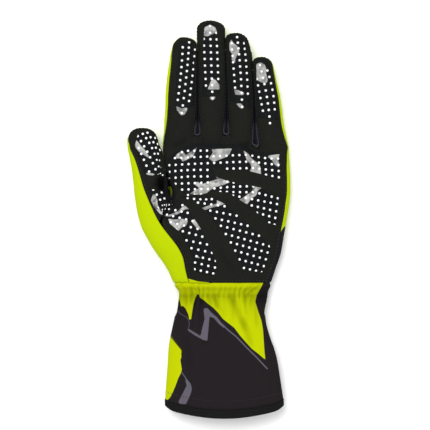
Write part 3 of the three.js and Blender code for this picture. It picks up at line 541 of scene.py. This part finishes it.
def linear(colour):
    """An sRGB hex colour as a linear one."""
    parts = [int(colour[i:i + 2], 16) / 255 for i in (1, 3, 5)]
    return [p / 12.92 if p <= 0.04045 else ((p + 0.055) / 1.055) ** 2.4 for p in parts] + [1]


def add(tree, kind, inputs=(), **settings):
    """A node with its settings, and its inputs set or linked. A text among the inputs is a hex colour."""
    node = tree.nodes.new(kind)
    for key, value in settings.items():
        setattr(node, key, value)
    for key, value in dict(inputs).items():
        if isinstance(value, bpy.types.NodeSocket):
            tree.links.new(value, node.inputs[key])
        else:
            node.inputs[key].default_value = linear(value) if isinstance(value, str) else value
    return node


def material(name):
    """An empty material, and its node tree."""
    made = bpy.data.materials.new(name)
    made.use_nodes = True
    made.node_tree.nodes.clear()
    return made, made.node_tree


def surface(tree, colour, roughness, specular, height=None, depth=0, strength=0):
    """The shader of a material. Its relief is a depth from the lowest point to the highest."""
    inputs = {"Base Color": colour, "Roughness": roughness, "Specular IOR Level": specular}
    if height is not None:
        relief = add(tree, "ShaderNodeBump", {"Height": height, "Distance": depth * MM, "Strength": strength})
        inputs["Normal"] = relief.outputs[0]
    shader = add(tree, "ShaderNodeBsdfPrincipled", inputs)
    add(tree, "ShaderNodeOutputMaterial", {"Surface": shader.outputs[0]})


def layers(tree, colour, *over):
    """A colour with others over it, in order. Each is the share that it covers, its colour, and where that
    is less than all, the most that it hides. A share is a socket, or the name of a number the mesh stores."""
    for share, upper, *most in over:
        if isinstance(share, str):
            share = add(tree, "ShaderNodeAttribute", attribute_name=share).outputs["Fac"]
        if most:
            share = add(tree, "ShaderNodeMath", {0: share, 1: most[0]}, operation="MULTIPLY").outputs[0]
        colour = add(tree, "ShaderNodeMix", {0: share, 6: colour, 7: upper}, data_type="RGBA").outputs[2]
    return colour


def inside(tree, name, soft=0.12):
    """1 inside a charted field and 0 outside, with an edge as sharp as print, soft by some millimetres."""
    distance = add(tree, "ShaderNodeAttribute", attribute_name=name).outputs["Fac"]
    return add(tree, "ShaderNodeMapRange", {0: distance, 1: soft, 2: -soft}).outputs[0]


def stroke(tree, lines, soft=0.15):
    """1 on thin printed lines, worked out from the place itself so that they stay sharp, and 0 elsewhere."""
    where = add(tree, "ShaderNodeTexCoord").outputs["Object"]
    flat = add(tree, "ShaderNodeVectorMath", {0: where, 1: (1 / MM, 1 / MM, 0)},
               operation="MULTIPLY").outputs[0]
    shares = []
    for line, half in lines:
        for a, b in zip(line, line[1:]):
            run = b - a
            start = add(tree, "ShaderNodeVectorMath", {0: flat, 1: (*a, 0)},
                        operation="SUBTRACT").outputs[0]
            share = add(tree, "ShaderNodeVectorMath", {0: start, 1: (*(run / (run @ run)), 0)},
                        operation="DOT_PRODUCT").outputs["Value"]
            held = add(tree, "ShaderNodeClamp", {0: share}).outputs[0]
            reach = add(tree, "ShaderNodeVectorMath", {0: (*run, 0), "Scale": held},
                        operation="SCALE").outputs[0]
            off = add(tree, "ShaderNodeVectorMath", {0: start, 1: reach},
                      operation="DISTANCE").outputs["Value"]
            near = add(tree, "ShaderNodeMapRange", {0: off, 1: half + soft, 2: half - soft})
            shares.append(near.outputs[0])
    found = shares[0]
    for other in shares[1:]:
        found = add(tree, "ShaderNodeMath", {0: found, 1: other}, operation="MAXIMUM").outputs[0]
    return found


def grain(tree, size, detail=2.0):
    """Random grain with lumps of about this size: a lump is half the noise's period."""
    where = add(tree, "ShaderNodeTexCoord").outputs["Object"]
    return add(tree, "ShaderNodeTexNoise",
               {"Vector": where, "Scale": 0.5 / (size * MM), "Detail": detail}).outputs[0]


def ribs(tree, pitch, direction, distortion):
    """Parallel ribs at this pitch across an axis. A wave of scale 1 repeats every pi / 10."""
    where = add(tree, "ShaderNodeTexCoord").outputs["Object"]
    return add(tree, "ShaderNodeTexWave",
               {"Vector": where, "Scale": 2 * math.pi / (20 * pitch * MM), "Distortion": distortion,
                "Detail": 1.0, "Detail Scale": 2.0},
               bands_direction=direction).outputs["Fac"]


def mottled(tree):
    """Light grey camouflage, cloudy like a worn screen print."""
    clouds = add(tree, "ShaderNodeMapRange", {0: grain(tree, 2.0, 4.0), 1: 0.36, 2: 0.62}).outputs[0]
    wide = add(tree, "ShaderNodeMapRange", {0: grain(tree, 7.0, 1.0), 1: 0.35, 2: 0.6}).outputs[0]
    return layers(tree, "#57585b", (clouds, "#b8b8b4"), (wide, "#9c9c9a", 0.6))


def brushed_suede():
    """Microfibre suede, brushed on one side. The short nap keeps it dull black with faint cloudy patches, and
    painted shade darkens it in its creases and hollows.
    """
    made, tree = material("microfibre_suede_brushed")
    nap = grain(tree, 0.9, 3.0)
    colour = layers(tree, "#11120f", (nap, "#1f201c"), (grain(tree, 9), "#222320", 0.5),
                    ("valley", "#070706"), (inside(tree, "tails"), mottled(tree)),
                    (inside(tree, "yellow"), "#aab503"))
    surface(tree, colour, 0.95, 0.03, nap, 0.12, 0.5)
    return made


# Wales and courses of the knit. Real ones are about half as wide and wouldn't show
WALE = 0.9
COURSE = 0.7


def knit(name, colour_of):
    """Stretch warp knit: fine wales along the hand with courses across, which leave it matt and grainy."""
    made, tree = material(name)
    loops = add(tree, "ShaderNodeMath", {0: ribs(tree, WALE, "X", 0.6), 1: ribs(tree, COURSE, "Y", 0.6)},
                operation="MULTIPLY").outputs[0]
    surface(tree, colour_of(tree, loops), 0.9, 0.03, loops, 0.1, 0.45)
    return made


def fluorescent(tree, loops, low="#a7bb04", high="#b6ce08"):
    """Fluorescent yellow, a little darker in the gaps between the loops, and darkened with painted shade down
    in the folds.
    """
    return layers(tree, low, (loops, high), (grain(tree, 14), low, 0.35), ("valley", "#7f8702"))


def back_colour(tree, loops):
    """Fluorescent yellow with a black print at the little finger side of the wrist, and the same black as
    painted shade in the depth of the thumb's crotch.
    """
    # The print's black, also used as painted shade in the thumb's crotch
    printed = layers(tree, "#17171b", (loops, "#212126"))
    return layers(tree, fluorescent(tree, loops), (inside(tree, "black"), printed))


def cuff_colour(tree, loops):
    """Dye-sublimation print: black ground, grey flashes and fluorescent fields with clean edges, with painted
    shade in the folds and pleats.
    """
    grey = layers(tree, "#524f59", (loops, "#64616b"))
    yellow = fluorescent(tree, loops, "#abb702", "#bac703")
    return layers(tree, "#1d191b", (loops, "#282427"), ("valley", "#100e10"),
                  (inside(tree, "grey", 0.2), grey), (stroke(tree, GREY_LINES), grey),
                  (stroke(tree, FAINT_LINES), "#3c3944"), (inside(tree, "yellow", 0.2), yellow),
                  (stroke(tree, WRIST_CURVE), "#7d8502", 0.5), (stroke(tree, DARK_LINES), "#3a3c0c"))


def side_colour(tree, loops):
    """Near black with a trace of blue, and a lighter rim where the strip is sewn to the front."""
    return layers(tree, "#34353b", ("middle", layers(tree, "#131317", (loops, "#1e1e24"))))


def lining_colour(tree, loops):
    """Plain black, as the inside of the cloth."""
    return layers(tree, "#0f0f11", (loops, "#1b1b1e"))


def printed_silicone():
    """Silicone printed flat on the suede in black with light camouflage patches, smoother than the suede."""
    made, tree = material("silicone_print_flat")
    colour = layers(tree, "#0e0f10", (grain(tree, 1.2), "#1a1b1c"),
                    (inside(tree, "camo", 0.2), mottled(tree)))
    surface(tree, colour, 0.65, 0.03, grain(tree, 0.8), 0.06, 0.4)
    return made


def cured_silicone():
    """White silicone dots, printed thick and cured: smooth low domes with a soft gloss."""
    made, tree = material("silicone_dots_cured")
    surface(tree, layers(tree, "#ececec", (grain(tree, 1.5), "#fafafa")), 0.4, 0.4)
    return made


def woven_tape():
    """Woven polyester binding tape: fine ribs along the edge, dull black."""
    made, tree = material("polyester_tape_woven")
    rows = ribs(tree, 1.1, "Y", 0.3)
    surface(tree, layers(tree, "#101010", (rows, "#1b1b1b")), 0.85, 0.05, rows, 0.2, 0.6)
    return made


def sewing_thread():
    """Twisted polyester sewing thread, black with a slight shine."""
    made, tree = material("polyester_thread_twisted")
    surface(tree, layers(tree, "#131315", (grain(tree, 0.6), "#26262a")), 0.55, 0.35)
    return made


suede = brushed_suede()
back_knit = knit("polyester_knit_fluorescent", back_colour)
cuff_knit = knit("polyester_knit_sublimated", cuff_colour)
side_knit = knit("polyester_knit_navy", side_colour)
lining = knit("polyester_lining_black", lining_colour)
print_base = printed_silicone()
dot_silicone = cured_silicone()
tape = woven_tape()
thread = sewing_thread()


# ---- Cloth panels

def suede_panel(name, node):
    """A panel of suede, creased where the hand bends and turned in at its edges but the heel's corner."""
    mesh = draw_in(smoothed(outer_skin(node, SUEDE_WALL), LEVELS))
    points = numbers(mesh) / MM
    creases = crease_depth(points, CREASES, HOLLOWS)
    heel = ease(0, 3, field_distance(points[:, :2], HEEL_CORNER))
    height = heel * sewn_edge(mesh, 0.7, 1.3) - creases
    height += 0.3 * roughen(points, 11, 1)
    height += 0.12 * roughen(points, 4, 2)
    press(mesh, height)
    chart(mesh, "yellow", CROTCH_SLIVER, HEEL_CORNER)
    chart(mesh, "tails", *TAILS)
    # Painted shade: the depth of the creases and hollows, kept so that the suede's colour darkens there
    store(mesh, "valley", np.clip(creases / 3, 0, 1))
    piece(name, mesh, [suede, lining], node, SUEDE_WALL)
    return mesh


def knit_panel(name, node, seed):
    """A panel of the back's knit, gathered towards the wrist, with painted shade in the valleys of the
    gathers.
    """
    mesh = draw_in(smoothed(outer_skin(node, KNIT_WALL), LEVELS))
    points = numbers(mesh) / MM
    height = sewn_edge(mesh, 0.6, 1.2) + 0.3 * roughen(points, 13, seed) + 0.1 * roughen(points, 5, seed + 1)
    wrist = np.clip(1 - (points[:, 1] - WRIST_SEAM) / 14, 0, 1)
    gathers = pleats(points, 54, 0.4)
    press(mesh, height + 0.5 * wrist ** 2 * gathers)
    # Painted shade: the colour darkens in the valleys of the gathers
    store(mesh, "valley", 0.4 * wrist ** 2 * (1 - gathers) / 2)
    # The black chart holds the real print and the painted shade of the thumb's crotch
    chart(mesh, "black", BACK_BLACK, CROTCH_SHADE)
    piece(name, mesh, [back_knit, lining], node, KNIT_WALL)


def pleats(points, count, wander):
    """Uneven pleats round the wrist, from -1 in the valleys to 1 on the ridges."""
    x, y, z = points.T
    around = np.arctan2((z - TUBE_MIDDLE) / TUBE_HALF_HEIGHT, x / TUBE_HALF_WIDTH)
    drift = wander * roughen(np.stack([x * 0.5, y * 0.5, z * 0.5], 1), 6, 9)
    phase = count * around + 1.3 * np.sin(5 * around + 1) + 0.9 * np.sin(11 * around + 2.1) + 6 * drift
    strength = 0.65 + 0.35 * np.sin(9 * around + 0.7) * np.sin(4 * around + 0.3)
    return strength * (1 - 2 * (1 - np.abs(np.sin(phase / 2))) ** 1.4) * (1 - 0.8 * ease(22, 32, np.abs(x)))


# How far the elastic lies below the wrist's seam, and how far the cuff runs into its binding
ELASTIC_DOWN = 9.8
INTO_BINDING = 1.5


def stretch_cuff():
    """The cuff: fine pleats at the wrist's elastic, longer folds below it, and a smooth tube to the hem."""
    mesh = smoothed(outer_skin("cuff", CUFF_WALL), LEVELS)
    points = numbers(mesh) / MM
    down = WRIST_SEAM - points[:, 1]
    fine = ease(0.5, 5, down) * np.exp(-np.maximum(down - 10.5, 0) / 5)
    long = ease(6, 12, down) * np.exp(-np.maximum(down - 14, 0) / 11)
    # At the sides the tube has a narrow seam, which is only moved inwards, with no pleats
    sides = 1 - ease(21, 30, np.abs(points[:, 0]))
    edge = ease(29, 33, np.abs(points[:, 0]))
    fine_pleats, long_pleats = pleats(points, 50, 0.5) * sides, pleats(points, 19, 0.5) * sides
    elastic = np.exp(-((down - ELASTIC_DOWN - 0.8 * roughen(points, 7, 4)) / 1.2) ** 2)
    tucked = ease(0, 3, 3 - down)
    folds = crease_depth(points, CUFF_FOLDS) * ease(9, 15, points[:, 2])
    height = 0.8 * fine * fine_pleats + 1.1 * long * long_pleats - 0.6 * sides * elastic - folds
    waist = 1.1 * ease(2, 7, down) * ease(2, 7, 30 - down) + 0.8 * tucked
    height += 0.3 * roughen(points, 15, 5) * (1 - edge) + sewn_edge(mesh, 0.6, 1.2) - waist * (1 - edge)
    press(mesh, height)
    inwards = -np.sign(points[:, 0]) * waist * edge
    into_binding = INTO_BINDING * np.exp(-(rim_distance(mesh) / 1.5) ** 2) * (points[:, 1] < HEM_SIDE)
    move_to(mesh, numbers(mesh) + np.stack([inwards, 1.4 * tucked - into_binding, 0 * tucked], 1) * MM)
    # Painted shade: the colour darkens in the valleys of the pleats, in the folds, along the elastic's line
    # and over the whole gathered band
    shade = 0.45 * fine * (1 - fine_pleats) / 2 + 0.65 * long * (1 - long_pleats) / 2
    shade += 0.4 * np.maximum(folds, 0)
    store(mesh, "valley", np.clip(shade + 0.1 * elastic * (1 - fine_pleats) + 0.3 * fine, 0, 1))
    chart(mesh, "yellow", *CUFF_YELLOW)
    chart(mesh, "grey", *CUFF_GREY)
    # Half the wall, so that the narrow seams at the sides don't cut through themselves
    piece("cuff_stretch_knit", mesh, [cuff_knit, lining], "cuff", 0.5 * CUFF_WALL)
    return mesh


def swell(mesh):
    """Bulges a strip between two fingers until its walls touch, as cloth does where fingers lie close."""
    tree = tree_of(mesh)
    free = ease(0.4, 2.6, rim_distance(mesh))
    height = []
    for at, facing, share in zip(numbers(mesh), normals_of(mesh), free):
        start = Vector(at) + Vector(facing) * 0.05 * MM
        width = tree.ray_cast(start, Vector(facing), TOUCHING * MM)[3]
        height.append(share * (0.5 * width / MM + 0.03) if width else 0)
    press(mesh, np.array(height))


def side_strip(between):
    """The strip between two fingers. Its lighter rim shows only towards the roots of the fingers."""
    node = "fourchette_" + between
    mesh = draw_in(smoothed(outer_skin(node, KNIT_WALL, faces_in=True), LEVELS))
    towards_tips = ease(68, 77, numbers(mesh)[:, 1] / MM)
    store(mesh, "middle", np.maximum(ease(0.2, 1.6, rim_distance(mesh)), towards_tips))
    swell(mesh)
    piece("side_strip_" + between, mesh, [side_knit, lining], node, KNIT_WALL)


palm = suede_panel("palm_suede", "palm_panel")
thumb_front = suede_panel("thumb_front_suede", "thumb_front_panel")
knit_panel("back_knit", "back_panel", 3)
knit_panel("thumb_back_knit", "thumb_back_panel", 7)
cuff = stretch_cuff()
for between in ("index_middle", "middle_ring", "ring_little"):
    side_strip(between)



# ---- Stitches

# From one stitch to the next; half the length, width and thickness of a stitch; and how far the row lies from
# the edge of the suede and from that of the cuff
STITCH_PITCH = 2.7
STITCH = (0.95, 0.26, 0.18)
SUEDE_INSET = 1.9
HEM_INSET = 8.6


def edge_loops(bm):
    """The edges of a sheet as closed chains of corners."""
    left = dict.fromkeys(edge for edge in bm.edges if edge.is_boundary)
    while left:
        edge = next(iter(left))
        del left[edge]
        chain = list(edge.verts)
        while True:
            onward = next((e for e in chain[-1].link_edges if e in left), None)
            if onward is None:
                break
            del left[onward]
            chain.append(onward.other_vert(chain[-1]))
        yield chain


def stitches(name, mesh, node, inset, wanted=lambda point: True):
    """Short stitches of thread in a row inside the edge of a panel."""
    bm = bmesh.new()
    bm.from_mesh(mesh)
    cloth = BVHTree.FromBMesh(bm)
    rows = []
    for chain in edge_loops(bm):
        to_go = 0.0
        for a, b in zip(chain, chain[1:]):
            length = (b.co - a.co).length / MM
            while to_go < length:
                at = a.co.lerp(b.co, to_go / length)
                rows.append((at, (b.co - a.co).normalized(), a.link_faces[0]))
                to_go += STITCH_PITCH
            to_go -= length
    sewn = bmesh.new()
    for at, way, face in rows:
        inwards = way.cross(face.normal)
        if inwards.dot(face.calc_center_median() - at) < 0:
            inwards.negate()
        place_on, normal, _, _ = cloth.find_nearest(at + inwards * inset * MM)
        if not wanted(place_on / MM):
            continue
        side = normal.cross(way).normalized()
        turn = Matrix((way, side, normal)).transposed().to_4x4()
        shape = Matrix.Translation(place_on + normal * 0.03 * MM) @ turn @ Matrix.Diagonal((*STITCH, 1))
        bmesh.ops.create_icosphere(sewn, subdivisions=1, radius=MM, matrix=shape)
    bm.free()
    thread_mesh = bpy.data.meshes.new(name)
    sewn.to_mesh(thread_mesh)
    sewn.free()
    thread_mesh.shade_smooth()
    piece(name, thread_mesh, [thread], node)


stitches("stitches_palm", palm, "palm_panel", SUEDE_INSET,
         lambda point: field_distance(np.array([point.xy]), HEEL_CORNER)[0] > 1)
stitches("stitches_thumb", thumb_front, "thumb_front_panel", SUEDE_INSET)
stitches("stitches_hem", cuff, "cuff", HEM_INSET, lambda point: point.y < HEM_SIDE)


# ---- Binding of the cuff

# Below this y, the binding's corners are raised within a width from its sides. Its edge is drawn in between
# two values of y
LOWER_HALF = -146
CORNER_WIDTH, CORNER_RISE = 6, 2.2
EDGE_FROM, EDGE_TO, EDGE_RISE = -155, -163, 1.3


def hem():
    """A folded tape: round at both edges and at its corners."""
    bm = bmesh.new()
    bm.from_mesh(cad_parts["hem_binding"].data)
    bmesh.ops.remove_doubles(bm, verts=bm.verts, dist=WELD * MM)
    bmesh.ops.join_triangles(bm, faces=bm.faces, angle_face_threshold=math.radians(40),
                             angle_shape_threshold=math.radians(60))
    mesh = bpy.data.meshes.new("binding")
    bm.to_mesh(mesh)
    bm.free()
    made = piece("cuff_binding_tape", mesh, [tape], "hem_binding")
    points = numbers(mesh) / MM
    x, y, _ = points.T
    middle_x = (x.min() + x.max()) / 2
    corner = ease(-CORNER_WIDTH, 0.5, np.abs(x - middle_x) - np.ptp(x) / 2)
    y += CORNER_RISE * corner * (y < LOWER_HALF) + EDGE_RISE * ease(EDGE_FROM, EDGE_TO, y)
    move_to(mesh, points * MM)
    rounding = made.modifiers.new("rounding", "BEVEL")
    rounding.width = 0.7 * MM
    rounding.segments = 3
    rounding.limit_method = "ANGLE"
    rounding.angle_limit = math.radians(50)
    finer = made.modifiers.new("finer", "SUBSURF")
    finer.levels = finer.render_levels = 2
    mesh.shade_smooth()


hem()


# ---- Grip print and its dots

# The print is cut into a grid of this step, so that it follows the suede. It stands this far above it, and
# less far at its rim
PRINT_STEP = 1.25
PRINT_LIFT, PRINT_RIM_LIFT = 0.22, 0.02
# A dot's radius, and its middle above the suede. Its height as a share of the radius, and the
# most that its radius may be of the distance to the next dot
DOT_RADIUS = 0.99
DOT_LIFT = 0.2
DOT_HEIGHT = 0.42
DOT_CROWDING = 0.32

palm_side = tree_of(palm, thumb_front)


def onto(point, lift):
    """The point of the palm side under a place in the plan, raised by a lift."""
    hit, normal, _, _ = palm_side.ray_cast(Vector((point[0], point[1], 0.1)), -UP)
    if hit is None:
        hit, normal, _, _ = palm_side.find_nearest(Vector((point[0], point[1], 20 * MM)))
    return hit + normal * lift * MM, normal


def grip_outline(node):
    """The top of a grip field of the CAD as a bmesh."""
    bm = bmesh.new()
    bm.from_mesh(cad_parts[node].data)
    bmesh.ops.remove_doubles(bm, verts=bm.verts, dist=0.5 * WELD * MM)
    bm.normal_update()
    drop = [face for face in bm.faces if face.normal.z < 0.04]
    bmesh.ops.delete(bm, geom=drop, context="FACES")
    return bm


def grip_field(node):
    """The flat print of a grip field, laid onto the suede."""
    bm = grip_outline(node)
    step = PRINT_STEP * MM
    for axis in (0, 1):
        reached = [v.co[axis] for v in bm.verts]
        at = math.floor(min(reached) / step) * step + step
        while at < max(reached):
            through, facing = Vector((0, 0, 0)), Vector((0, 0, 0))
            through[axis], facing[axis] = at, 1
            bmesh.ops.bisect_plane(bm, geom=bm.verts[:] + bm.edges[:] + bm.faces[:], dist=0.02 * MM,
                                   plane_co=through, plane_no=facing)
            at += step
    bmesh.ops.remove_doubles(bm, verts=bm.verts, dist=0.15 * MM)
    rim = {v for edge in bm.edges if edge.is_boundary for v in edge.verts}
    for v in bm.verts:
        v.co = onto(v.co, PRINT_RIM_LIFT if v in rim else PRINT_LIFT)[0]
    bm.normal_update()
    mesh = bpy.data.meshes.new(node + "_print")
    bm.to_mesh(mesh)
    bm.free()
    chart(mesh, "camo", *CAMO)
    mesh.shade_smooth()
    piece(node.replace("grip", "print"), mesh, [print_base], node)


def row_of(row):
    """The places of a row's dots in the plan, evenly spaced on a curve through its charted points."""
    *charted, count = row
    shares = [(i / (count - 1) if count > 1 else 0) for i in range(count)]
    if len(charted) == 2:
        (a, b), bend = charted, (0, 0)
    else:
        a, middle, b = charted
        bend = [4 * (middle[k] - (a[k] + b[k]) / 2) for k in (0, 1)]
    return [place(*(a[k] + (b[k] - a[k]) * t + bend[k] * t * (1 - t) for k in (0, 1))) for t in shares]


dot_places = {node: [at for row in rows for at in row_of(row)] for node, rows in DOTS.items()}
every_dot = KDTree(sum(map(len, dot_places.values())))
for i, (x, y) in enumerate(at for group in dot_places.values() for at in group):
    every_dot.insert((x, y, 0), i)
every_dot.balance()


def dots(node):
    """Low domes on the print, smaller where they crowd, and cut where the print ends."""
    outline = grip_outline(node)
    rim = [(edge.verts[0].co.xy / MM, edge.verts[1].co.xy / MM) for edge in outline.edges if edge.is_boundary]
    middles = [edge.link_faces[0].calc_center_median().xy / MM for edge in outline.edges if edge.is_boundary]
    outline.free()
    bm = bmesh.new()
    for x, y in dot_places[node]:
        crowd = every_dot.find_n((x, y, 0), 2)[1][2]
        radius = min(DOT_RADIUS, DOT_CROWDING * crowd)
        at, normal = onto((x * MM, y * MM), DOT_LIFT)
        turn = UP.rotation_difference(normal).to_matrix().to_4x4()
        shape = Matrix.Translation(at) @ turn @ Matrix.Diagonal((1, 1, DOT_HEIGHT, 1))
        dome = bmesh.ops.create_uvsphere(bm, u_segments=12, v_segments=6, radius=radius * MM,
                                         matrix=shape)["verts"]
        for (a, b), middle in zip(rim, middles):
            way = (b - a).normalized()
            out = Vector((way.y, -way.x))
            if out.dot(middle - a) > 0:
                out.negate()
            here = Vector((x, y)) - a
            if -0.3 < here.dot(way) < (b - a).length + 0.3 and -radius < here.dot(out) < 0.6 * radius:
                faces = dict.fromkeys(face for v in dome if v.is_valid for face in v.link_faces)
                edges = dict.fromkeys(edge for face in faces for edge in face.edges)
                cut = bmesh.ops.bisect_plane(bm, geom=[*faces, *(v for v in dome if v.is_valid), *edges],
                                             plane_co=(*(a * MM), 0), plane_no=(*out, 0), clear_outer=True)
                open_edges = [e for e in cut["geom_cut"] if isinstance(e, bmesh.types.BMEdge)]
                if open_edges:
                    bmesh.ops.edgenet_fill(bm, edges=open_edges)
                dome = dict.fromkeys(v for v in cut["geom"] + cut["geom_cut"]
                                     if isinstance(v, bmesh.types.BMVert) and v.is_valid)
    mesh = bpy.data.meshes.new(node + "_dots")
    bm.to_mesh(mesh)
    bm.free()
    mesh.shade_smooth()
    piece(node.replace("grip", "dots"), mesh, [dot_silicone], node)


for node in DOTS:
    grip_field(node)
for node in DOTS:
    dots(node)


# ---- Floor, light and camera

# Half the floor's side in metres, and how far it lies below the glove
FLOOR_HALF = 4
FLOOR_GAP = 0.05


def stage_floor():
    """Matt white paper, wide enough to fill the view from every side."""
    bm = bmesh.new()
    bmesh.ops.create_grid(bm, x_segments=2, y_segments=2, size=FLOOR_HALF)
    bmesh.ops.translate(bm, verts=bm.verts, vec=(0, 0, -FLOOR_GAP * MM))
    mesh = bpy.data.meshes.new("floor")
    bm.to_mesh(mesh)
    bm.free()
    floor = bpy.data.objects.new("floor", mesh)
    bpy.context.scene.collection.objects.link(floor)
    made, tree = material("paper_matt_white")
    surface(tree, "#ffffff", 0.9, 0.1)
    mesh.materials.append(made)


def lamp(name, at, size, watts):
    """A round softbox that faces the glove. Its place and size are in metres."""
    light = bpy.data.lights.new(name, "AREA")
    light.shape = "DISK"
    light.size = size
    light.energy = watts
    obj = bpy.data.objects.new(name, light)
    obj.location = at
    obj.rotation_euler = (-Vector(at)).to_track_quat("-Z", "Y").to_euler()
    bpy.context.scene.collection.objects.link(obj)


stage_floor()
lamp("softbox_head", (-0.3, 0.4, 1.5), 0.9, 17)
lamp("softbox_foot", (0.9, -0.6, 1.3), 1.2, 5)

world = bpy.data.worlds.new("studio")
bpy.context.scene.world = world
world.use_nodes = True
world.node_tree.nodes["Background"].inputs["Color"].default_value = linear("#ffffff")
world.node_tree.nodes["Background"].inputs["Strength"].default_value = 0.72
bpy.context.scene.view_settings.view_transform = "Standard"

# The camera looks straight down, from where the photograph's scale holds at this height
GLOVE_MIDDLE = 17
lens = bpy.data.cameras.new("camera")
lens.lens = 250
lens.sensor_width = 36
lens.clip_end = 20
camera = bpy.data.objects.new("camera", lens)
middle = place(*MIDDLE_PIXEL)
reach = PHOTO * PIXEL * MM * lens.lens / lens.sensor_width
camera.location = (middle[0] * MM, middle[1] * MM, reach + GLOVE_MIDDLE * MM)
bpy.context.scene.collection.objects.link(camera)
bpy.context.scene.camera = camera
